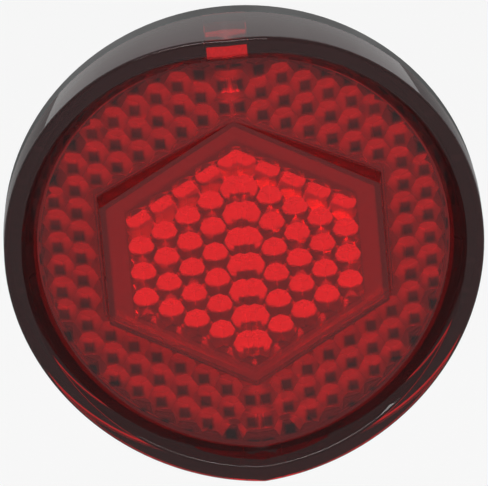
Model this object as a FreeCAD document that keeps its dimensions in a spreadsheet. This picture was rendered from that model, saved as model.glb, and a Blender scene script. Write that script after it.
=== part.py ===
import FreeCAD, Part
import math
import os
import re

import Sketcher
from FreeCAD import Placement, Rotation, Vector

# A round bolt-on rear reflector, in millimetres.
# It is drawn lying on its back, face up, and each piece is then stood up by its Placement:
# +Z is up, the face looks along -Y and the stud points along +Y.
# The origin is on the stud's axis, in the plane where the hub meets its bracket.

doc = FreeCAD.newDocument("reflector")
sheet = doc.addObject("Spreadsheet::Sheet", "sizes")

SIZES = [
    # the red cap
    ("lensRadius", 30.0, "outside of the skirt"),
    ("skirtHeight", 3.91, "height of the skirt at 3 and 9 o'clock, where it is lowest"),
    ("faceSlope", 10.0, "how far each half of the face falls back, in degrees"),
    ("rimRounding", 0.5, "rounding of the rim's outer edge"),
    ("rimLand", 2.1, "flat top of the rim"),
    ("rimRun", 1.7, "width of the rim's inner slope"),
    ("rimDrop", 2.8, "how deep the face lies inside the rim"),
    ("rimWall", 2.0, "plastic above the wall of the backing"),
    ("faceWall", 1.3, "plate between the face and the roots of the prisms"),
    ("skirtWall", 2.2, "wall round the side"),
    ("hexCorner", 18.0, "centre of the hexagon to its corners at 12 and 6 o'clock"),
    ("hexSide", 17.5, "centre of the hexagon to its upright sides"),
    ("hexDraft", 6.0, "draft of the hexagon's sides, in degrees"),
    ("hexBand", 0.9, "plain band inside the hexagon's edge"),
    # the prisms
    ("outerPitch", 3.05, "across the flats of a prism of the outer field"),
    ("outerWide", 1.07, "how much wider the outer prisms are than a regular hexagon"),
    ("outerCant", 4.0, "how far the outer prisms lean up, in degrees"),
    ("outerFirst", 0.92, "seam to the first column of the outer field"),
    ("outerShift", 1.45, "height of the outer rows above the axis"),
    ("outerBand", 0.3, "plain band between the outer field and the rim"),
    ("innerPitch", 3.51, "across the flats of a prism inside the hexagon"),
    ("innerCant", 10.0, "how far the prisms inside the hexagon lean up, in degrees"),
    ("innerFirst", 0.64, "seam to the first column inside the hexagon"),
    ("innerShift", 1.26, "height of the inner rows above the axis"),
    ("innerCorner", 15.1, "centre of the inner field to its corners at 12 and 6 o'clock"),
    ("innerSide", 14.4, "centre of the inner field to its upright sides"),
    ("innerDrop", 1.2, "how far the inner field's centre lies below the hexagon's"),
    ("prismFoot", 0.05, "layer between the plate and the lowest corners of the prisms"),
    ("prismRoot", 0.3, "how deep the prisms are rooted in the plate"),
    ("cutPast", 1.0, "how far a cutting solid reaches past what it cuts"),
    # the black backing
    ("lipStep", 0.15, "how far the lip that the skirt stands on lies inside the skirt"),
    ("lipDepth", 2.6, "thickness of the lip"),
    ("wallFit", 0.1, "clearance between the skirt and the wall inside it"),
    ("wallThick", 1.5, "wall inside the skirt"),
    ("wallClear", 0.2, "clearance between the wall's edge and the lens"),
    ("bowlStep", 0.8, "how far the shallow bowl behind the lip stands out past the wall above it"),
    ("bowlDepth", 2.2, "how far the bowl stands out behind the lip"),
    ("bowlRounding", 1.2, "rounding of the bowl's edge"),
    ("backWall", 1.6, "thickness of the back"),
    ("hubRadius", 8.5, "radius of the hub at its seat"),
    ("hubHeight", 2.0, "how far the hub stands out of the back"),
    ("hubTaper", 0.6, "how much wider the hub is at its foot"),
    ("ribCount", 4, "ribs from the hub across the back"),
    ("ribLength", 10.0, "length of a rib past the hub"),
    ("ribWidth", 1.6, "thickness of a rib"),
    ("ribHeight", 1.6, "height of a rib at the hub"),
    ("ribEnd", 0.4, "height of a rib at its end"),
    ("gapWidth", 5.0, "width of each of the four gaps in the wall"),
    ("keyFit", 0.15, "clearance of the lens's keys in those gaps"),
    ("keyDepth", 1.2, "how far a key stands in from the skirt"),
    # the fasteners
    ("threadRadius", 2.5, "M5"),
    ("studReach", 19.0, "stud's length past the seat"),
    ("studTip", 0.6, "chamfer on the stud's end"),
    ("headFlats", 8.0, "across the flats of the stud's head"),
    ("headHeight", 3.5, "height of the stud's head"),
    ("headCover", 3.0, "plastic between the head and the seat"),
    ("towerWall", 2.0, "plastic round the corners of the head"),
    ("insertGap", 0.02, "between the stud and the plastic moulded round it"),
    ("bracketGap", 4.0, "room for the bracket between the hub and the washer"),
    ("washerRadius", 5.0, "plain washer's outside"),
    ("washerBore", 2.65, "plain washer's hole"),
    ("washerThick", 1.0, "plain washer's thickness"),
    ("springRadius", 4.6, "lock washer's outside"),
    ("springBore", 2.55, "lock washer's hole"),
    ("springThick", 1.2, "lock washer's thickness"),
    ("springLift", 0.5, "how far the ends at its split stand apart"),
    ("springTurn", 345, "how much of a turn it makes, in degrees"),
    ("nutFlats", 8.0, "across the flats of the nut"),
    ("nutHeight", 4.0, "height of the nut"),
    ("nutChamfer", 0.4, "chamfer on the nut's corners"),
    ("threadGap", 0.02, "between the nut and the stud"),
]

# what follows from those sizes
DERIVED = [
    ("slopeRise", "=tan(faceSlope * 1deg)"),
    ("bowlHeight", "=hubHeight + bowlDepth"),
    ("lipHeight", "=bowlHeight + lipDepth"),
    ("crestHeight", "=lipHeight + skirtHeight + lensRadius * slopeRise"),
    ("faceHeight", "=crestHeight - rimDrop"),
    ("rootHeight", "=faceHeight - faceWall"),
    ("rimUnder", "=crestHeight - rimWall"),
    ("floorHeight", "=hubHeight + backWall"),
    ("boreRadius", "=lensRadius - skirtWall"),
    ("fieldRadius", "=lensRadius - rimLand - rimRun"),
    ("prismRadius", "=fieldRadius - outerBand"),
    ("slopeFlare", "=rimRun / rimDrop / cos(faceSlope * 1deg)"),
    ("underFlare", "=(boreRadius - fieldRadius) / (rimUnder - rootHeight) / cos(faceSlope * 1deg)"),
    ("keyInside", "=boreRadius - keyDepth"),
    ("wallRadius", "=boreRadius - wallFit"),
    ("wallInside", "=wallRadius - wallThick"),
    ("lipRadius", "=lensRadius - lipStep"),
    ("bowlRadius", "=wallInside + bowlStep"),
    ("bandCorner", "=hexCorner - hexBand / cos(30deg)"),
    ("bandSide", "=hexSide - hexBand"),
    ("headTop", "=headCover + headHeight"),
    ("headCorner", "=headFlats / sqrt(3)"),
    ("towerRadius", "=headCorner + towerWall"),
    ("nutCorner", "=nutFlats / sqrt(3)"),
    ("washerTop", "=-bracketGap"),
    ("springTop", "=washerTop - washerThick"),
    ("nutTop", "=springTop - springThick - springLift"),
]

for row, (name, value, note) in enumerate(SIZES, start=1):
    sheet.set(f"A{row}", name)
    sheet.set(f"B{row}", str(value))
    sheet.set(f"C{row}", note)
    sheet.setAlias(f"B{row}", name)
for row, (name, formula) in enumerate(DERIVED, start=len(SIZES) + 2):
    sheet.set(f"A{row}", name)
    sheet.set(f"B{row}", formula)
    sheet.setAlias(f"B{row}", name)
doc.recompute()

upright = Placement(Vector(), Rotation(Vector(1, 0, 0), 90))
near = 0.01


def bound(formula):
    """The formula with each size read from the sheet."""
    return re.sub(r"[a-z]+[A-Z][A-Za-z]*", lambda name: "<<sizes>>." + name.group(), formula)


def value(formula):
    return float(sheet.evalExpression(bound(formula)))


def add(kind, name, turn=None, **formulas):
    """An object whose properties follow the sheet. turn is an axis and an angle in degrees."""
    made = doc.addObject(kind, name)
    if turn:
        made.Placement = Placement(Vector(), Rotation(Vector(*turn[:3]), turn[3]))
    for key, formula in formulas.items():
        key = f"Placement.Base.{key}" if key in ("x", "y", "z") else key
        made.setExpression(key, bound(formula))
    return made


def cut(name, base, tool):
    made = doc.addObject("Part::Cut", name)
    made.Base, made.Tool = base, tool
    return made


def common(name, *pieces):
    made = doc.addObject("Part::MultiCommon", name)
    made.Shapes = pieces
    return made


def fuse(name, *pieces):
    made = doc.addObject("Part::MultiFuse", name)
    made.Shapes = pieces
    return made


def mirrored(name, piece):
    """The left half, made from the right one."""
    made = doc.addObject("Part::Mirroring", name)
    made.Source = piece
    made.Normal = Vector(1, 0, 0)
    return made


def rod(name, radius, low, high):
    return add("Part::Cylinder", name, Radius=radius, z=low, Height=f"{high} - ({low})")


def roof(name, low, ridge):
    """A ridged block that falls to both sides as the face does, from the height low up to its ridge."""
    half = f"({ridge} - ({low})) / slopeRise"
    made = add("Part::Wedge", name, (1, 0, 0, 90), z=low, Xmin=f"-{half}", Xmax=half,
               Ymax=f"{ridge} - ({low})", Zmin="-2 * lensRadius", Zmax="2 * lensRadius",
               Z2min="-2 * lensRadius", Z2max="2 * lensRadius")
    made.Ymin = made.X2min = made.X2max = 0
    return made


def dish(name, radius, flare, low, rise):
    """A cone square to the right half of the face: radius at the height low, wider by flare a millimetre."""
    made = add("Part::Cone", name, (0, 1, 0, value("faceSlope")), Radius1=radius,
               Radius2=f"{radius} + {flare} * ({rise})", Height=rise, z=low)
    made.setExpression("Placement.Rotation.Angle", bound("faceSlope"))
    return made


def origin(body, role):
    return next(f for f in body.Origin.OriginFeatures if f.Role == role)


def profile(body, name, corners, role="XZ_Plane", lift=None):
    """A closed outline on one of the body's planes. Each corner is two formulas."""
    drawn = body.newObject("Sketcher::SketchObject", name)
    drawn.AttachmentSupport = [(origin(body, role), "")]
    drawn.MapMode = "FlatFace"
    if lift:
        drawn.setExpression("AttachmentOffset.Base.z", bound(lift))
    points = [Vector(value(across), value(up), 0) for across, up in corners]
    for number, point in enumerate(points):
        drawn.addGeometry(Part.LineSegment(point, points[(number + 1) % len(points)]), False)
    for number in range(len(points)):
        drawn.addConstraint(Sketcher.Constraint("Coincident", number, 2, (number + 1) % len(points), 1))
    for number, (corner, point) in enumerate(zip(corners, points)):
        for kind, formula, at in zip(("DistanceX", "DistanceY"), corner, (point.x, point.y)):
            index = drawn.addConstraint(Sketcher.Constraint(kind, -1, 1, number, 1, at))
            drawn.setExpression(f"Constraints[{index}]", bound(formula))
    return drawn


def turned(body, name, corners, kind="PartDesign::Revolution"):
    """A full turn of an outline round the axis, added to the body or cut from it."""
    made = body.newObject(kind, name)
    made.Profile = profile(body, name + "Profile", corners)
    made.ReferenceAxis = (made.Profile[0], ["V_Axis"])
    made.Angle = 360
    doc.recompute()
    return made


def hexagon(corner, side=None, drop="0"):
    """The corners of six sides, with one at 12 and one at 6 o'clock. side is how far off the others lie."""
    side = side or f"({corner}) * cos(30deg)"
    shoulder = f"({corner} - ({side}) * tan(30deg))"
    return [(side, f"{shoulder} - {drop}"), ("0", f"{corner} - {drop}"), (f"-({side})", f"{shoulder} - {drop}"),
            (f"-({side})", f"-{shoulder} - {drop}"), ("0", f"-({corner}) - {drop}"), (side, f"-{shoulder} - {drop}")]


def pad(body, name, corners, low, height):
    """A block on an outline that lies at the height low."""
    made = body.newObject("PartDesign::Pad", name)
    made.Profile = profile(body, name + "Profile", corners, "XY_Plane", low)
    made.setExpression("Length", bound(height))
    doc.recompute()
    return made


def block(name, corners, low, height):
    """The same as a piece of its own."""
    body = doc.addObject("PartDesign::Body", name)
    pad(body, name + "Pad", corners, low, height)
    return body


def crossBars(name, width, low, high):
    """Two bars across the whole face, at 12 to 6 o'clock and at 3 to 9."""
    bars = []
    for way, turn in (("Upright", 0), ("Level", 90)):
        bar = add("Part::Box", name + way, (0, 0, 1, turn), Length=width, Width="2 * lensRadius",
                  Height=f"{high} - ({low})", z=low,
                  x=f"-({width}) / 2" if turn == 0 else "lensRadius",
                  y="-lensRadius" if turn == 0 else f"-({width}) / 2")
        bars.append(bar)
    return fuse(name, *bars)


rightHalf = add("Part::Box", "rightHalf", Length="2 * lensRadius", Width="4 * lensRadius",
                Height="3 * crestHeight", y="-2 * lensRadius", z="-crestHeight")


def meeting(a, b, c, d):
    """Where the line from a to b crosses the one from c to d, in the same upright plane."""
    first, second = b - a, d - c
    square = first.cross(second)
    if square.Length < near:
        return None
    shares = [(c - a).cross(way) * square / square.Length ** 2 for way in (second, first)]
    return a + first * shares[0] if all(near < share < 1 - near for share in shares) else None


def cubeCorners(name, pitch, wide, cant, first, shift, reach):
    """A block of hexagonal pins, side by side in upright columns, each ending in the corner of a cube.

    It hangs below the face: z = 0 is the face, and the pins' roots lie inside the plate. A pin's three
    square facets face up and down to both sides, and the edges between them leave a notch in the other
    three of its flats. cant leans the cubes up, which makes the walls between the pins uneven.
    """
    top = -value("faceWall - prismRoot")
    foot = -value("faceWall + prismFoot")
    lean = math.radians(cant)
    flats = [math.radians(angle) for angle in range(30, 390, 60)]
    corners = [Vector(pitch / math.sqrt(3) * math.cos(angle - math.pi / 6),
                      pitch / math.sqrt(3) * math.sin(angle - math.pi / 6), 0) for angle in flats]
    facets = {}
    for flat in (1, 3, 5):
        across = -math.sqrt(2) * math.cos(flats[flat])
        up = -math.sqrt(2) * math.sin(flats[flat])
        leaned = up * math.cos(lean) + math.sin(lean), math.cos(lean) - up * math.sin(lean)
        facets[flat] = Vector(-across * wide / leaned[1], -leaned[0] / leaned[1], 0)
    depth = max(max(corner * facet for facet in facets.values()) for corner in corners)

    def onPin(spot):
        return Vector(spot.x, spot.y, foot - depth + max(spot * facet for facet in facets.values()))

    corners = [onPin(corner) for corner in corners]
    notches = {}
    for flat in (0, 2, 4):
        between = facets[(flat - 1) % 6] - facets[(flat + 1) % 6]
        edge = Vector(-between.y, between.x, 0)
        notches[flat] = onPin(edge * (pitch / 2 / (edge * Vector(math.cos(flats[flat]), math.sin(flats[flat]), 0))))

    # the end of a pin along each of its flats, with the points where it meets the end of the next pin
    brims = [[point for point in (corners[flat], notches.get(flat), corners[(flat + 1) % 6]) if point]
             for flat in range(6)]
    for flat in range(3):
        step = Vector(pitch * math.cos(flats[flat]), pitch * math.sin(flats[flat]), 0)
        own, other = brims[flat], [point + step for point in brims[flat + 3]]
        met = [meeting(a, b, c, d) for a, b in zip(own, own[1:]) for c, d in zip(other, other[1:])]
        met = [point for point in met if point]
        own = sorted(own + met, key=lambda point: (point - own[0]).dot(own[-1] - own[0]))
        other = sorted(other + met, key=lambda point: (point - other[0]).dot(other[-1] - other[0]))
        brims[flat], brims[flat + 3] = own, [point - step for point in other]

    column = pitch * math.sqrt(3) / 2
    pins = {}
    for across in range(-1, math.ceil((reach - first) / column) + 2):
        for up in range(-math.ceil(reach / pitch) - 2, math.ceil(reach / pitch) + 3):
            spot = Vector(first + across * column, shift + (up + across % 2 / 2) * pitch, 0)
            if spot.Length < reach + pitch:
                pins[across, up] = spot

    def spotKey(point):
        return round(point.x, 3), round(point.y, 3)

    levels = {}
    for spot in pins.values():
        for corner in corners:
            levels.setdefault(spotKey(spot + corner), set()).add(corner.z)

    def climb(start, end):
        """The corners of other pins that an upright edge passes."""
        low, high = sorted((start.z, end.z))
        passed = sorted(level for level in levels.get(spotKey(start), ())
                        if low + near / 10 < level < high - near / 10)
        return [Vector(start.x, start.y, level) for level in (passed if end.z > start.z else reversed(passed))]

    def split(line, others):
        """The line in stretches, parted where it runs through a point of the other line."""
        parts = [[line[0]]]
        for point in line[1:]:
            parts[-1].append(point)
            if point is not line[-1] and any((point - other).Length < near / 10 for other in others):
                parts.append([point])
        return parts

    faces = []
    following = {}

    def addFace(points):
        loop = [p for number, p in enumerate(points) if (p - points[number - 1]).Length > near / 10]
        loop = [Vector(p.x * wide, p.y, p.z) for p in loop]
        if len(loop) > 2:
            faces.append(Part.Face(Part.makePolygon([*loop, loop[0]])))

    for (across, up), spot in pins.items():
        tip = spot + Vector(0, 0, foot - depth)
        odd = across % 2
        beside = [(across + 1, up + odd), (across, up + 1), (across - 1, up + odd)]
        beside += [(across - 1, up + odd - 1), (across, up - 1), (across + 1, up + odd - 1)]
        for flat in range(6):
            own = [spot + point for point in brims[flat]]
            if flat in facets:
                before, after = brims[(flat - 1) % 6], brims[(flat + 1) % 6]
                before = before[before.index(notches[(flat - 1) % 6]):]
                after = after[:after.index(notches[(flat + 1) % 6]) + 1]
                addFace([tip, *[spot + point for point in before], *own, *[spot + point for point in after]])
            if beside[flat] in pins and flat > 2:
                continue
            if beside[flat] in pins:
                other = [pins[beside[flat]] + point for point in reversed(brims[flat + 3])]
            else:
                other = [Vector(point.x, point.y, top) for point in (own[0], own[-1])]
                following[spotKey(own[0])] = spotKey(own[-1]), other[0]
            for mine, theirs in zip(split(own, other), split(other, own)):
                addFace([*mine[::-1], *climb(mine[0], theirs[0]), *theirs, *climb(theirs[-1], mine[-1])])
    here, outline = next(iter(following)), []
    while len(outline) < len(following):
        here, point = following[here]
        outline.append(point)
    addFace(outline)
    shell = Part.Shell(faces)
    shell.sewShape()
    solid = Part.Solid(shell)
    if solid.Volume < 0:
        solid.reverse()
    made = doc.addObject("Part::Feature", name)
    made.Shape = solid
    return made


# the lens: its right half first
skirtOutside = rod("skirtOutside", "lensRadius", "lipHeight", "crestHeight")
frontRoof = roof("frontRoof", "lipHeight - cutPast", "crestHeight")
lensBlank = common("lensBlank", rightHalf, skirtOutside, frontRoof)
doc.recompute()


def crestEdges(piece):
    """The edges between the skirt's outside and the slope of the front."""
    found = []
    for number, edge in enumerate(piece.Shape.Edges, start=1):
        box = edge.BoundBox
        along = [math.hypot(p.x, p.y) for p in edge.discretize(5)]
        if min(along) > value("lensRadius") - near and min(box.YLength, box.ZLength) > near:
            found.append(number)
    return found


lensRounded = doc.addObject("Part::Fillet", "lensRounded")
lensRounded.Base = lensBlank
rounding = value("rimRounding")
lensRounded.Edges = [(number, rounding, rounding) for number in crestEdges(lensBlank)]

recess = dish("recess", "fieldRadius", "slopeFlare", "faceHeight", "rimDrop + cutPast")
plateau = doc.addObject("PartDesign::Body", "plateau")
raised = pad(plateau, "plateauBlock", hexagon("hexCorner", "hexSide"), "faceHeight", "faceHeight - hubHeight")
raised.Reversed = True
doc.recompute()
flanks, top = [], None
for number, face in enumerate(raised.Shape.Faces, start=1):
    if abs(face.normalAt(0, 0).z) < near:
        flanks.append(f"Face{number}")
    elif face.CenterOfMass.z > value("faceHeight") - near:
        top = f"Face{number}"
drafted = plateau.newObject("PartDesign::Draft", "plateauDrafted")
drafted.Base = (raised, flanks)
drafted.NeutralPlane = (raised, [top])
drafted.setExpression("Angle", bound("hexDraft"))
doc.recompute()
front = fuse("front", cut("rimmed", lensRounded, recess),
             common("plateauHalf", plateau, rightHalf, skirtOutside))

keys = cut("keys", crossBars("keyBars", "gapWidth - 2 * keyFit", "lipHeight", "crestHeight"),
           rod("insideKeys", "keyInside", "lipHeight - cutPast", "crestHeight + cutPast"))
hollow = common("hollow", rod("skirtInside", "boreRadius", "lipHeight - cutPast", "rimUnder"),
                roof("underRoof", "lipHeight - cutPast", "rimUnder"))
plate = dish("plate", "fieldRadius", "underFlare", "rootHeight", "rimUnder - rootHeight + cutPast")
hexPocket = block("hexPocket", hexagon("bandCorner", "bandSide"), "lipHeight - cutPast",
                  "rootHeight - lipHeight + cutPast")
cap = cut("cap", cut("hollowed", front, cut("cavity", cut("cavityBlank", hollow, plate), keys)), hexPocket)

slope = math.radians(value("faceSlope"))
wide = value("outerWide")
outerPins = cubeCorners("outerPins", value("outerPitch"), wide, value("outerCant"),
                        value("outerFirst") / math.cos(slope) / wide, value("outerShift"), value("prismRadius"))
tilt = Rotation(Vector(0, 1, 0), value("faceSlope"))
outerPins.Placement = Placement(Vector(0, 0, value("faceHeight")), tilt)
innerPins = cubeCorners("innerPins", value("innerPitch"), 1, value("innerCant"), value("innerFirst"),
                        value("innerShift"), value("hexCorner"))
innerPins.Placement = Placement(Vector(0, 0, value("faceHeight")), Rotation())

prismEdge = add("Part::Cylinder", "prismEdge", (0, 1, 0, 180 + value("faceSlope")), z="faceHeight",
                Radius="prismRadius", Height="faceHeight")
prismEdge.setExpression("Placement.Rotation.Angle", bound("180 + faceSlope"))
outerClip = common("outerClip", rightHalf, prismEdge)
outerField = cut("outerField", common("outerTrimmed", outerPins, outerClip), plateau)
innerEdge = block("innerEdge", hexagon("innerCorner", "innerSide", "innerDrop"), "hubHeight", "crestHeight")
innerClip = common("innerClip", rightHalf, innerEdge)
innerField = common("innerField", innerPins, innerClip)

lensRight = fuse("lensRight", cap, outerField, innerField)
lens = fuse("lens", lensRight, mirrored("lensLeft", lensRight))
lens.Refine = True
lens.Placement = upright


# the backing
bowl = doc.addObject("PartDesign::Body", "bowl")
bowlTurned = turned(bowl, "bowlTurned", [
    ("0", "0"),
    ("hubRadius", "0"),
    ("hubRadius + hubTaper", "hubHeight"),
    ("bowlRadius", "hubHeight"),
    ("bowlRadius", "bowlHeight"),
    ("lipRadius", "bowlHeight"),
    ("lipRadius", "lipHeight"),
    ("wallInside", "lipHeight"),
    ("wallInside", "bowlHeight"),
    ("bowlRadius - backWall", "floorHeight"),
    ("towerRadius", "floorHeight"),
    ("towerRadius", "headTop"),
    ("0", "headTop"),
])
edges = []
for number, edge in enumerate(bowlTurned.Shape.Edges, start=1):
    box = edge.BoundBox
    onRim = abs(box.XMax - value("bowlRadius")) < near
    if onRim and abs(box.ZMax - value("hubHeight")) < near and box.ZLength < near:
        edges.append(f"Edge{number}")
rounded = bowl.newObject("PartDesign::Fillet", "bowlRounded")
rounded.Base = (bowlTurned, edges)
rounded.setExpression("Radius", bound("bowlRounding"))
doc.recompute()
rib = bowl.newObject("PartDesign::Pad", "rib")
rib.Profile = profile(bowl, "ribProfile", [
    ("hubRadius - cutPast", "hubHeight + cutPast"),
    ("hubRadius - cutPast", "hubHeight - ribHeight"),
    ("hubRadius", "hubHeight - ribHeight"),
    ("hubRadius + ribLength", "hubHeight - ribEnd"),
    ("hubRadius + ribLength", "hubHeight + cutPast"),
])
rib.SideType = "Symmetric"
rib.setExpression("Length", bound("ribWidth"))
doc.recompute()
ribs = bowl.newObject("PartDesign::PolarPattern", "ribs")
ribs.Originals = [rib]
ribs.Axis = (origin(bowl, "Z_Axis"), [""])
ribs.Angle = 360
ribs.setExpression("Occurrences", bound("ribCount"))
bowl.Tip = ribs
doc.recompute()

wallRing = cut("wallRing", rod("wallOutside", "wallRadius", "lipHeight - cutPast", "crestHeight"),
               rod("wallBore", "wallInside", "floorHeight", "crestHeight + cutPast"))
wallRoof = roof("wallRoof", "lipHeight - cutPast", "rimUnder - wallClear")
wallLow = common("wallLow", rightHalf, wallRing, wallRoof)
wallBevel = dish("wallBevel", "fieldRadius", "underFlare", "rootHeight - wallClear",
                 "rimUnder - rootHeight + cutPast")
gaps = crossBars("gaps", "gapWidth", "lipHeight", "crestHeight")
wallRight = cut("wallRight", cut("wallBevelled", wallLow, wallBevel), gaps)
studHole = fuse("studHole", rod("shankHole", "threadRadius + insertGap", "-cutPast", "headTop"),
                block("headHole", hexagon("headCorner + insertGap"), "headCover - insertGap",
                      "headHeight + insertGap + cutPast"))
rear_shell = cut("rear_shell", fuse("shellBlank", bowl, wallRight, mirrored("wallLeft", wallRight)), studHole)
rear_shell.Refine = True
rear_shell.Placement = upright

stud = doc.addObject("PartDesign::Body", "stud")
turned(stud, "shank", [
    ("0", "-studReach"),
    ("threadRadius - studTip", "-studReach"),
    ("threadRadius", "-studReach + studTip"),
    ("threadRadius", "headTop - cutPast"),
    ("0", "headTop - cutPast"),
])
pad(stud, "head", hexagon("headCorner"), "headCover", "headHeight")
stud.Placement = upright

plain_washer = doc.addObject("PartDesign::Body", "plain_washer")
turned(plain_washer, "washerRing", [
    ("washerBore", "washerTop - washerThick"),
    ("washerRadius", "washerTop - washerThick"),
    ("washerRadius", "washerTop"),
    ("washerBore", "washerTop"),
])
plain_washer.Placement = upright

hex_nut = doc.addObject("PartDesign::Body", "hex_nut")
pad(hex_nut, "nutFlanks", hexagon("nutCorner"), "nutTop - nutHeight", "nutHeight")
turned(hex_nut, "nutBore", [
    ("0", "nutTop - nutHeight - cutPast"),
    ("threadRadius + threadGap", "nutTop - nutHeight - cutPast"),
    ("threadRadius + threadGap", "nutTop + cutPast"),
    ("0", "nutTop + cutPast"),
], "PartDesign::Groove")
for side, face, way in (("Far", "nutTop - nutHeight", "+"), ("Near", "nutTop", "-")):
    turned(hex_nut, "nutChamfer" + side, [
        ("nutFlats / 2", face),
        ("nutFlats / 2 + cutPast", face),
        ("nutFlats / 2 + cutPast", f"{face} {way} nutChamfer * cutPast / (nutCorner - nutFlats / 2)"),
    ], "PartDesign::Groove")
hex_nut.Placement = upright

# the lock washer is a square wire wound almost once round
lock_washer = doc.addObject("PartDesign::Body", "lock_washer")
coil = lock_washer.newObject("PartDesign::AdditiveHelix", "coil")
coil.Profile = profile(lock_washer, "coilProfile", [
    ("springBore", "springTop - springThick - springLift"),
    ("springRadius", "springTop - springThick - springLift"),
    ("springRadius", "springTop - springLift"),
    ("springBore", "springTop - springLift"),
])
coil.ReferenceAxis = (coil.Profile[0], ["V_Axis"])
coil.Mode = "height-turns-angle"
coil.setExpression("Height", bound("springLift"))
coil.setExpression("Turns", bound("springTurn / 360"))
coil.Angle = 0
lock_washer.Placement = upright

doc.recompute()
for made in doc.Objects:
    if "Invalid" in made.State or "Error" in made.State:
        raise RuntimeError(f"{made.Label} failed")

os.makedirs("parts", exist_ok=True)
for piece in (lens, rear_shell, stud, plain_washer, lock_washer, hex_nut):
    if piece.Shape.isNull() or not piece.Shape.isValid():
        raise RuntimeError(f"{piece.Label} has no valid shape")
    piece.Shape.exportStep(f"parts/{piece.Label}.step")
    box = piece.Shape.BoundBox
    print(piece.Label, len(piece.Shape.Solids), "solid", round(piece.Shape.Volume, 1), "mm3,",
          len(piece.Shape.Faces), "faces, depth", round(box.YMin, 2), "to", round(box.YMax, 2))
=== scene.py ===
import math
import bmesh
import bpy
from mathutils import Matrix, Vector


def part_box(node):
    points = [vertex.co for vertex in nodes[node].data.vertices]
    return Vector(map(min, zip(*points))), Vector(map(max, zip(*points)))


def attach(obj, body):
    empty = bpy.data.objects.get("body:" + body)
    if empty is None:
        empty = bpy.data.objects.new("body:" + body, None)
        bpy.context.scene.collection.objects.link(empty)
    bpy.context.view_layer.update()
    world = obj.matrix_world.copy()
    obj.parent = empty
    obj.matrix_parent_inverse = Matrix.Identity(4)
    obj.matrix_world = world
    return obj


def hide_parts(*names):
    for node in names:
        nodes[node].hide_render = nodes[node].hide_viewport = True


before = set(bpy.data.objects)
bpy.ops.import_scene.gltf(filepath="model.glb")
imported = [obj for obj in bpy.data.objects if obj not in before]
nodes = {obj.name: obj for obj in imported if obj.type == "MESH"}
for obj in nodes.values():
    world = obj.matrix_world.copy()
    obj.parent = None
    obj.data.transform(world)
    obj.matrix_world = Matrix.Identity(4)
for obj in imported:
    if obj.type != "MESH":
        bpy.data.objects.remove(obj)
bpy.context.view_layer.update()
mm = 0.001
print("frame loaded:", ", ".join(sorted(nodes)))


def linear(code):        # an sRGB hex colour as Blender's linear one
    parts = [int(code[i:i + 2], 16) / 255 for i in (1, 3, 5)]
    return [p / 12.92 if p <= 0.04045 else ((p + 0.055) / 1.055) ** 2.4 for p in parts] + [1.0]


def addNode(tree, kind, inputs=None, **settings):        # an input is a value, or a socket to link from
    node = tree.nodes.new(kind)
    for key, setting in settings.items():
        setattr(node, key, setting)
    for key, given in (inputs or {}).items():
        if isinstance(given, bpy.types.NodeSocket):
            tree.links.new(given, node.inputs[key])
        else:
            node.inputs[key].default_value = given
    return node


def addMath(tree, operation, *terms):
    return addNode(tree, "ShaderNodeMath", dict(enumerate(terms)), operation=operation).outputs[0]


def addNoise(tree, place, pattern):        # pattern: size in mm, detail, roughness
    size, detail, roughness = pattern
    return addNode(tree, "ShaderNodeTexNoise", {"Vector": place, "Scale": 1 / (size * mm), "Detail": detail,
                                                "Roughness": roughness}).outputs["Fac"]


def addRange(tree, value, low, high, start=0.0, end=1.0):        # start becomes low, and end becomes high
    return addNode(tree, "ShaderNodeMapRange", {"Value": value, "From Min": start, "From Max": end,
                                                "To Min": low, "To Max": high}).outputs["Result"]


def addMix(tree, factor, first, second, kind="RGBA"):
    return addNode(tree, "ShaderNodeMix", {"Factor": factor, "A": first, "B": second},
                   data_type=kind).outputs["Result"]


def addShaderMix(tree, factor, first, second):
    return addNode(tree, "ShaderNodeMixShader", {0: factor, 1: first, 2: second}).outputs[0]


def newMaterial(name):
    material = bpy.data.materials.new(name)
    material.use_nodes = True
    tree = material.node_tree
    tree.nodes.clear()
    shader = addNode(tree, "ShaderNodeBsdfPrincipled")
    output = addNode(tree, "ShaderNodeOutputMaterial", {"Surface": shader.outputs[0]})
    return material, tree, shader, output


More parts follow.
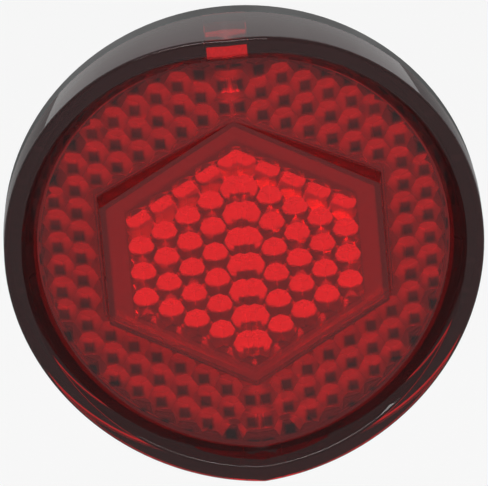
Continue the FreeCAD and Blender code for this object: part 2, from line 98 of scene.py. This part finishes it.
# red PMMA, injection moulded in a polished tool: water clear and deep red, faintly hazed and dusty
# from handling. Behind the rim the cap is welded to the black wall, and a weld sends no light back: its
# faces there are drawn black, a painted shade, and so are those over the gaps at 3, 6 and 9 o'clock,
# where there is no wall. The key in the gap at 12 o'clock is hazed so that it scatters the light red,
# a painted light. The outer prisms come from a blasted part of the tool and shine more softly. The
# plateau's flanks, which look along its plastic, are tinted deeper red, a painted shade.
acrylic = {
    "colour": "#fb0d18", "deep": "#240506", "weldShade": "#050404", "dust": "#b8b0b0", "ior": 1.49,
    "dusty": 0.016,               # share of the light that the dust throws back
    "specks": (0.4, 3.0, 0.6),    # the haze's pattern, and how uneven it makes the haze
    "speckle": 0.5,

    # clearness: 1 is without haze
    "clearRim": 0.985, "clearField": 0.9, "clearBand": 0.85, "clearPrisms": 0.92, "clearKeyLit": 0.5,

    # roughness
    "polished": 0.015, "outerRough": 0.28, "innerRough": 0.06,

    # places in mm, slope in degrees. The face and the rim's crest fall away from an upright seam.
    "slope": 10.0,
    "faceHeight": 13.2,           # the face at the seam, and the crest there
    "crestHeight": 16.0,
    "plate": 1.2,                 # between the front and the rear of the plate, and of the rim's top
    "fieldRadius": 26.3,          # just outside the field
    "hexCorner": 18.2,            # just outside the plateau: its upper corner, and its upright side
    "hexSide": 17.7,
    "innerCorner": 15.4,          # about the prisms behind the plateau, in the same way
    "innerSide": 14.5,
    "gap": 2.5,                   # half of a gap in the black wall
    "rimLean": 0.607,             # the rim's inner slope: its run outwards for each mm that it rises
    "rimEdge": 28.25,             # between the two faces of that slope, at the height of the crest
    "skirt": 28.9,                # between the two faces of the skirt
    "keyReach": 29.2,             # how far from the axis the key is lit, and how far behind the crest
    "keyDepth": 1.5,
    "flank": 0.9,                 # to each side of the plateau's edge, and below its top
    "flankTop": 0.3,
    "flankShade": 0.55,           # from 0 to 1
}

# dark squares about 1.4 mm wide, one in front of each outer pin, a painted shade. They stand in for the
# pins' blunt ends, which pass the light on to the black backing, and are drawn on the face, where the eye
# sees them. In mm, apart from the shade, which goes from 0 to 1.
squares = {"up": 3.05, "across": 2.783, "first": 0.92, "shift": 1.45, "half": 0.72, "soft": 0.2,
           "shade": 0.9, "depth": 0.5, "reach": 25.6, "margin": 0.8}


def addSquares(tree, side, z):        # their shade, with soft edges, all over the face
    fromFirst = addMath(tree, "SUBTRACT", side, squares["first"] * mm)
    column = addMath(tree, "DIVIDE", fromFirst, squares["across"] * mm)
    ordinal = addMath(tree, "ROUND", column)
    odd = addMath(tree, "FLOORED_MODULO", ordinal, 2.0)
    fromShift = addMath(tree, "SUBTRACT", z, squares["shift"] * mm)
    row = addMath(tree, "DIVIDE", fromShift, squares["up"] * mm)
    row = addMath(tree, "MULTIPLY_ADD", odd, -0.5, row)        # every second column is half a step off
    aside = addMath(tree, "ABSOLUTE", addMath(tree, "SUBTRACT", column, ordinal))
    above = addMath(tree, "ABSOLUTE", addMath(tree, "SUBTRACT", row, addMath(tree, "ROUND", row)))
    away = addMath(tree, "MAXIMUM", addMath(tree, "MULTIPLY", aside, squares["across"]),
                   addMath(tree, "MULTIPLY", above, squares["up"]))
    return addRange(tree, away, 0.0, squares["shade"], squares["half"] + squares["soft"],
                    squares["half"] - squares["soft"])


def makeAcrylic():
    material, tree, shader, output = newMaterial("redAcrylicPolished")
    place = addNode(tree, "ShaderNodeTexCoord").outputs["Object"]
    spot = addNode(tree, "ShaderNodeSeparateXYZ", {"Vector": place})
    y, z = spot.outputs["Y"], spot.outputs["Z"]

    # distances from the seam, from the level of the axis and from the axis
    side = addMath(tree, "ABSOLUTE", spot.outputs["X"])
    height = addMath(tree, "ABSOLUTE", z)
    radius = addMath(tree, "SQRT", addMath(tree, "ADD", addMath(tree, "POWER", side, 2.0),
                                           addMath(tree, "POWER", height, 2.0)))
    # depths behind the face and behind the rim's crest
    level = addMath(tree, "MULTIPLY_ADD", side, -math.tan(math.radians(acrylic["slope"])), y)
    behindFace = addMath(tree, "ADD", level, acrylic["faceHeight"] * mm)
    behindCrest = addMath(tree, "ADD", behindFace, (acrylic["crestHeight"] - acrylic["faceHeight"]) * mm)

    # masks, which are 1 where they hold and 0 elsewhere
    def under(length, limit):        # limit in mm
        return addMath(tree, "LESS_THAN", length, limit * mm)

    def over(length, limit):
        return addMath(tree, "GREATER_THAN", length, limit * mm)

    def product(first, *others):
        for other in others:
            first = addMath(tree, "MULTIPLY", first, other)
        return first

    def oneMinus(value):
        return addMath(tree, "SUBTRACT", 1.0, value)

    def insideHexagon(margin, corner=acrylic["hexCorner"], flat=acrylic["hexSide"]):
        aslant = addMath(tree, "MULTIPLY_ADD", side, math.tan(math.radians(30)), height)
        return product(under(aslant, corner + margin), under(side, flat + margin))

    def change(value, mask, old, new):        # under the mask, the value goes from old to new
        return addMath(tree, "MULTIPLY_ADD", mask, acrylic[new] - acrylic[old], value)

    inField = under(radius, acrylic["fieldRadius"])
    inHexagon = insideHexagon(0.0)
    inPrisms = insideHexagon(0.0, acrylic["innerCorner"], acrylic["innerSide"])
    inKey = product(under(side, acrylic["gap"]), over(z, acrylic["fieldRadius"]))
    litKeyFace = product(inKey, under(radius, acrylic["keyReach"]), under(behindCrest, acrylic["keyDepth"]))

    # the faces welded to the black wall, and those over the gaps at 3, 6 and 9 o'clock, drawn black: painted
    # shade
    rimLine = addMath(tree, "MULTIPLY_ADD", behindCrest, acrylic["rimLean"], radius)
    onWeldShade = product(over(rimLine, acrylic["rimEdge"]), under(radius, acrylic["skirt"]),
                     over(behindCrest, acrylic["plate"]), oneMinus(inKey))

    # the haze
    clear = change(acrylic["clearRim"], inField, "clearRim", "clearField")
    clear = change(clear, inHexagon, "clearField", "clearBand")
    clear = change(clear, inPrisms, "clearBand", "clearPrisms")
    # the key's face is hazed, so that it scatters the light red: a painted light for light through the gap
    clear = change(clear, litKeyFace, "clearRim", "clearKeyLit")
    specks = addNoise(tree, place, acrylic["specks"])
    uneven = addMath(tree, "MULTIPLY_ADD", specks, acrylic["speckle"] * 2, 1 - acrylic["speckle"])
    transmission = oneMinus(product(oneMinus(clear), uneven))

    # the gloss
    outerPrisms = product(over(behindFace, acrylic["plate"]), inField, oneMinus(inHexagon))
    innerPrisms = product(over(behindFace, 0.0), inPrisms)
    rough = change(acrylic["polished"], outerPrisms, "polished", "outerRough")
    rough = change(rough, innerPrisms, "polished", "innerRough")

    # the painted shade of the squares and of the plateau's flanks, a narrow ring along its edge
    square = product(addSquares(tree, side, z), under(behindFace, squares["depth"]),
                     under(radius, squares["reach"]), oneMinus(insideHexagon(squares["margin"])))
    ring = product(insideHexagon(acrylic["flank"]), oneMinus(insideHexagon(-acrylic["flank"])))
    flank = product(ring, over(y, acrylic["flankTop"] - acrylic["crestHeight"]), under(behindFace, 0.0))
    shade = addMath(tree, "MAXIMUM", square, product(flank, acrylic["flankShade"]))

    # the red, darkened where the shade is painted
    tint = addMix(tree, shade, linear(acrylic["colour"]), linear(acrylic["deep"]))
    tree.links.new(tint, shader.inputs["Base Color"])
    tree.links.new(transmission, shader.inputs["Transmission Weight"])
    tree.links.new(rough, shader.inputs["Roughness"])
    shader.inputs["IOR"].default_value = acrylic["ior"]
    dust = addNode(tree, "ShaderNodeBsdfDiffuse", {"Color": linear(acrylic["dust"])})
    # the black drawn over the weld and the side gaps is painted shade
    weldShade = addNode(tree, "ShaderNodeBsdfDiffuse", {"Color": linear(acrylic["weldShade"])})
    dusted = addShaderMix(tree, acrylic["dusty"], shader.outputs[0], dust.outputs[0])
    tree.links.new(addShaderMix(tree, onWeldShade, dusted, weldShade.outputs[0]), output.inputs["Surface"])
    return material


# black ABS, moulded against a fine spark-eroded tool: satin, with a grain of about 0.15 mm
# drawn at 0.25 mm, so that it shows, and slightly uneven in gloss
blackAbs = {"colour": "#0f0e0e", "worn": "#181616", "roughness": 0.42, "glossSpread": 0.12,
            "grain": (0.25, 2.0, 0.5), "grainStrength": 0.3, "grainDepth": 0.03,        # depth in mm
            "patches": (6.0, 4.0, 0.5)}


def makeBlackAbs():
    material, tree, shader, output = newMaterial("blackAbsMoulded")
    place = addNode(tree, "ShaderNodeTexCoord").outputs["Object"]
    grain = addNoise(tree, place, blackAbs["grain"])
    patches = addNoise(tree, place, blackAbs["patches"])
    bump = addNode(tree, "ShaderNodeBump", {"Height": grain, "Strength": blackAbs["grainStrength"],
                                            "Distance": blackAbs["grainDepth"] * mm})
    gloss = addRange(tree, patches, blackAbs["roughness"] - blackAbs["glossSpread"],
                     blackAbs["roughness"] + blackAbs["glossSpread"])
    shade = addMix(tree, patches, linear(blackAbs["colour"]), linear(blackAbs["worn"]))
    tree.links.new(shade, shader.inputs["Base Color"])
    tree.links.new(gloss, shader.inputs["Roughness"])
    tree.links.new(bump.outputs["Normal"], shader.inputs["Normal"])
    return material


# zinc-plated steel: bright and bluish, with the plating's soft mottle of about 1.5 mm
# and fine dull specks
zinc = {"colour": "#c4c8cc", "dull": "#9a9d9c", "roughness": 0.24, "dullRoughness": 0.42,
        "mottle": (1.5, 5.0, 0.6)}


def makeZinc():
    material, tree, shader, output = newMaterial("zincPlatedSteel")
    place = addNode(tree, "ShaderNodeTexCoord").outputs["Object"]
    mottle = addNoise(tree, place, zinc["mottle"])
    shade = addMix(tree, mottle, linear(zinc["colour"]), linear(zinc["dull"]))
    gloss = addRange(tree, mottle, zinc["roughness"], zinc["dullRoughness"])
    tree.links.new(shade, shader.inputs["Base Color"])
    tree.links.new(gloss, shader.inputs["Roughness"])
    shader.inputs["Metallic"].default_value = 1.0
    return material


finishes = {"lens": makeAcrylic(), "shell": makeBlackAbs(), "steel": makeZinc()}
slotOf = {"lens": "lens", "rear_shell": "shell", "stud": "steel", "plain_washer": "steel",
          "lock_washer": "steel", "hex_nut": "steel"}
for name, slot in slotOf.items():
    nodes[name].data.materials.clear()
    nodes[name].data.materials.append(finishes[slot])
print("materials made")


def deselect():
    if bpy.context.object and bpy.context.object.mode != "OBJECT":
        bpy.ops.object.mode_set(mode="OBJECT")
    bpy.ops.object.select_all(action="DESELECT")


def finish(piece, name, angle):        # shaded, and declared to the frame
    deselect()
    piece.select_set(True)
    bpy.context.view_layer.objects.active = piece
    bpy.ops.object.shade_smooth_by_angle(angle=math.radians(angle))
    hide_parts(name)
    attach(piece, "root")


def bevelEdges(piece, chosen, width, segments):        # chosen: tells whether an edge is bevelled
    bpy.ops.object.mode_set(mode="EDIT")
    bpy.ops.mesh.select_mode(type="EDGE")
    bpy.ops.mesh.select_all(action="DESELECT")
    mesh = bmesh.from_edit_mesh(piece.data)
    for edge in mesh.edges:
        edge.select_set(chosen(edge))
    print(piece.name, "edges bevelled:", sum(edge.select for edge in mesh.edges))
    bmesh.update_edit_mesh(piece.data)
    bpy.ops.mesh.bevel(offset=width, segments=segments)
    bpy.ops.object.mode_set(mode="OBJECT")


# the rim's inner edge is slightly round and catches the light: it lies on the crest, at this radius.
# In mm, crease in degrees.
rimEdge = {"radius": 27.9, "near": 0.4, "offCrest": 0.03, "crease": 20.0, "round": 0.22, "segments": 3}


def isRimEdge(edge):
    slope = math.tan(math.radians(acrylic["slope"]))
    onCrest = all(abs(end.co.y - slope * abs(end.co.x) + acrylic["crestHeight"] * mm)
                  < rimEdge["offCrest"] * mm for end in edge.verts)
    onCircle = all(abs(math.hypot(end.co.x, end.co.z) - rimEdge["radius"] * mm)
                   < rimEdge["near"] * mm for end in edge.verts)
    return onCrest and onCircle and edge.calc_face_angle(0.0) > math.radians(rimEdge["crease"])


# the moulded and punched pieces again, with their round walls shaded round and the metal's edges
# broken. Widths in mm, angles in degrees.
edges = {"smooth": 22.0, "flat": 1.0, "sharp": 40.0, "merge": 0.0002, "segments": 2,
         "widths": {"plain_washer": 0.12, "lock_washer": 0.12, "hex_nut": 0.08}}


def smoothCopy(name):
    piece = nodes[name].copy()
    piece.data = nodes[name].data.copy()
    piece.name = name + "_smooth"
    piece.parent = None
    bpy.context.scene.collection.objects.link(piece)
    mesh = bmesh.new()
    mesh.from_mesh(piece.data)
    bmesh.ops.remove_doubles(mesh, verts=mesh.verts, dist=edges["merge"] * mm)
    mesh.to_mesh(piece.data)
    mesh.free()
    deselect()
    piece.select_set(True)
    bpy.context.view_layer.objects.active = piece
    bpy.ops.mesh.customdata_custom_splitnormals_clear()
    if name == "lens":
        bevelEdges(piece, isRimEdge, rimEdge["round"] * mm, rimEdge["segments"])
    if name in edges["widths"]:
        bpy.ops.object.mode_set(mode="EDIT")
        bpy.ops.mesh.select_all(action="SELECT")
        bpy.ops.mesh.dissolve_limited(angle_limit=math.radians(edges["flat"]))
        bpy.ops.object.mode_set(mode="OBJECT")
        bevel = piece.modifiers.new("edge", "BEVEL")
        bevel.width, bevel.segments = edges["widths"][name] * mm, edges["segments"]
        bevel.limit_method, bevel.angle_limit = "ANGLE", math.radians(edges["sharp"])
        bpy.ops.object.modifier_apply(modifier=bevel.name)
    finish(piece, name, edges["smooth"])


for name in nodes:
    if name != "stud":
        smoothCopy(name)
print("moulded and punched pieces made")

# the M5 stud: its core, a rolled right-hand thread of 0.8 mm pitch, and the hexagonal head inside
# the hub. In mm, apart from counts and the angle; spread is the thread's width over its height.
stud = {"core": 2.07, "crest": 2.49, "pitch": 0.8, "ridge": 0.29, "spread": 1.25, "start": 0.7, "turns": 22,
        "steps": 24, "tip": 0.5, "sides": 48, "near": 0.01, "headFlats": 8.0, "headHeight": 3.5,
        "headChamfer": 0.3, "angle": 30.0}
studLow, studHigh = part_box("stud")


def addRod(name, sides, radius, low, high, chamfer):        # along y, chamfered at its far end
    deselect()
    bpy.ops.mesh.primitive_cylinder_add(vertices=sides, radius=radius, depth=high - low,
                                        location=(0, (low + high) / 2, 0), rotation=(math.radians(-90), 0, 0))
    rod = bpy.context.object
    rod.name = name
    bpy.ops.object.transform_apply(location=True, rotation=True, scale=True)
    bevelEdges(rod, lambda edge: all(high - end.co.y < stud["near"] * mm for end in edge.verts), chamfer, 1)
    return rod


def addThread():        # a triangle, wound up along y
    deselect()
    middle = ((stud["crest"] - stud["ridge"]) * mm, stud["start"] * mm, 0)
    bpy.ops.mesh.primitive_circle_add(vertices=3, radius=stud["ridge"] * mm, location=middle,
                                      rotation=(0, 0, math.radians(-90)))
    thread = bpy.context.object
    bpy.ops.object.transform_apply(location=True, rotation=True, scale=True)
    bpy.ops.object.mode_set(mode="EDIT")
    bpy.ops.mesh.select_all(action="SELECT")
    bpy.ops.transform.resize(value=(1, stud["spread"], 1), center_override=middle)
    bpy.ops.object.mode_set(mode="OBJECT")
    screw = thread.modifiers.new("thread", "SCREW")
    screw.axis, screw.angle, screw.screw_offset = "Y", math.tau, stud["pitch"] * mm
    screw.iterations, screw.steps, screw.render_steps = stud["turns"], stud["steps"], stud["steps"]
    screw.use_merge_vertices = False
    bpy.ops.object.modifier_apply(modifier=screw.name)
    bpy.ops.object.mode_set(mode="EDIT")
    bpy.ops.mesh.select_all(action="SELECT")
    bpy.ops.mesh.fill_holes(sides=3)
    bpy.ops.mesh.normals_make_consistent(inside=False)
    bpy.ops.object.mode_set(mode="OBJECT")
    return thread


headHeight = stud["headHeight"] * mm
head = addRod("studHead", 6, stud["headFlats"] / math.sqrt(3) * mm, studLow[1], studLow[1] + headHeight,
              stud["headChamfer"] * mm)
core = addRod("studCore", stud["sides"], stud["core"] * mm, studLow[1] + headHeight / 2, studHigh[1],
              stud["tip"] * mm)
thread = addThread()
deselect()
for part in (head, thread, core):
    part.select_set(True)
bpy.context.view_layer.objects.active = core
bpy.ops.object.join()
core.name = "stud_threaded"
core.data.materials.append(finishes["steel"])
finish(core, "stud", stud["angle"])
print("stud threaded")

# pale paper, well below, as the reflector hangs on its bracket. It glows to the eye, so that it
# stays pale under a shadow, and what mirrors it sees it dimmer. Lengths in metres.
paper = {"drop": 0.075, "side": 12.0, "colour": "#f4f4f4", "roughness": 0.9,
         "glowColour": "#ffffff", "glow": 0.7, "mirrored": 0.22}
bpy.ops.mesh.primitive_plane_add(size=paper["side"], location=(0, 0, -paper["drop"]))
floor = bpy.context.object
floor.name = "floor"
material, tree, shader, output = newMaterial("palePaperFloor")
shader.inputs["Base Color"].default_value = linear(paper["colour"])
shader.inputs["Roughness"].default_value = paper["roughness"]
path = addNode(tree, "ShaderNodeLightPath")
seen = addMath(tree, "MAXIMUM", path.outputs["Is Camera Ray"], path.outputs["Is Glossy Ray"])
seen = addMath(tree, "MAXIMUM", seen, path.outputs["Is Transmission Ray"])
share = addMath(tree, "MULTIPLY", seen, paper["glow"])
strength = addRange(tree, path.outputs["Is Glossy Ray"], 1.0, paper["mirrored"])
glow = addNode(tree, "ShaderNodeEmission", {"Color": linear(paper["glowColour"]), "Strength": strength})
tree.links.new(addShaderMix(tree, share, shader.outputs[0], glow.outputs[0]), output.inputs["Surface"])
floor.data.materials.append(material)

# the room is white to the eye, and its light is less bright than it looks. What mirrors it sees white
# behind the reflector and a dim front, and in between a blend by the direction's share along y.
studio = {"colour": "#ffffff", "light": 0.6, "front": 0.3, "frontEnd": 0.2, "backStart": 0.85}
world = bpy.data.worlds.new("studio")
bpy.context.scene.world = world
world.use_nodes = True
tree = world.node_tree
tree.nodes.clear()
path = addNode(tree, "ShaderNodeLightPath")
direction = addNode(tree, "ShaderNodeTexCoord").outputs["Generated"]
toward = addNode(tree, "ShaderNodeSeparateXYZ", {"Vector": direction})
mirrored = addRange(tree, toward.outputs["Y"], studio["front"], 1.0, studio["frontEnd"], studio["backStart"])
seen = addMath(tree, "MAXIMUM", path.outputs["Is Camera Ray"], path.outputs["Is Transmission Ray"])
onlyMirrored = addMath(tree, "SUBTRACT", path.outputs["Is Glossy Ray"], seen)
strength = addMix(tree, onlyMirrored, addRange(tree, seen, studio["light"], 1.0), mirrored, "FLOAT")
background = addNode(tree, "ShaderNodeBackground", {"Color": linear(studio["colour"]), "Strength": strength})
addNode(tree, "ShaderNodeOutputWorld", {"Surface": background.outputs[0]})

# softboxes, in metres and watts. The long one draws the pale line along the rim's lower inner edge.
lamps = {"keyLight": {"place": (-0.15, -0.65, 1.0), "size": (1.6, 0.25), "power": 6.0, "mirrored": True},
         "fillLight": {"place": (0.9, -0.7, 0.4), "size": (0.5, 0.5), "power": 2.0, "mirrored": False}}
for name, values in lamps.items():
    light = bpy.data.lights.new(name, "AREA")
    light.shape, light.energy = "RECTANGLE", values["power"]
    light.size, light.size_y = values["size"]
    lamp = bpy.data.objects.new(name, light)
    lamp.location = values["place"]
    lamp.rotation_euler = Vector(values["place"]).to_track_quat("Z", "Y").to_euler()
    lamp.visible_glossy = values["mirrored"]
    bpy.context.scene.collection.objects.link(lamp)
print("studio made")

# the photograph's view: a long lens in front and a little above, and the reflector slightly turned.
# Angles in degrees, sensor in mm, the rest in metres.
view = {"elevation": 23.0, "azimuth": 0.0, "roll": 5.1, "distance": 1.7, "aim": (0.0, -0.0096, 0.0),
        "pixelsPerMm": 8.01, "pixelsAcross": 488, "sensor": 36.0, "clip": (0.1, 20.0)}
cameraData = bpy.data.cameras.new("camera")
camera = bpy.data.objects.new("camera", cameraData)
bpy.context.scene.collection.objects.link(camera)
up, around = math.radians(view["elevation"]), math.radians(view["azimuth"])
away = Vector((math.sin(around) * math.cos(up), -math.cos(around) * math.cos(up), math.sin(up)))
turn = away.to_track_quat("Z", "Y").to_matrix() @ Matrix.Rotation(-math.radians(view["roll"]), 3, "Z")
camera.matrix_world = Matrix.Translation(Vector(view["aim"]) + away * view["distance"]) @ turn.to_4x4()
cameraData.sensor_width = view["sensor"]
cameraData.lens = view["sensor"] * view["distance"] * view["pixelsPerMm"] / (view["pixelsAcross"] * mm)
cameraData.clip_start, cameraData.clip_end = view["clip"]
bpy.context.scene.camera = camera
bpy.context.scene.view_settings.view_transform = "Standard"
print("camera placed")
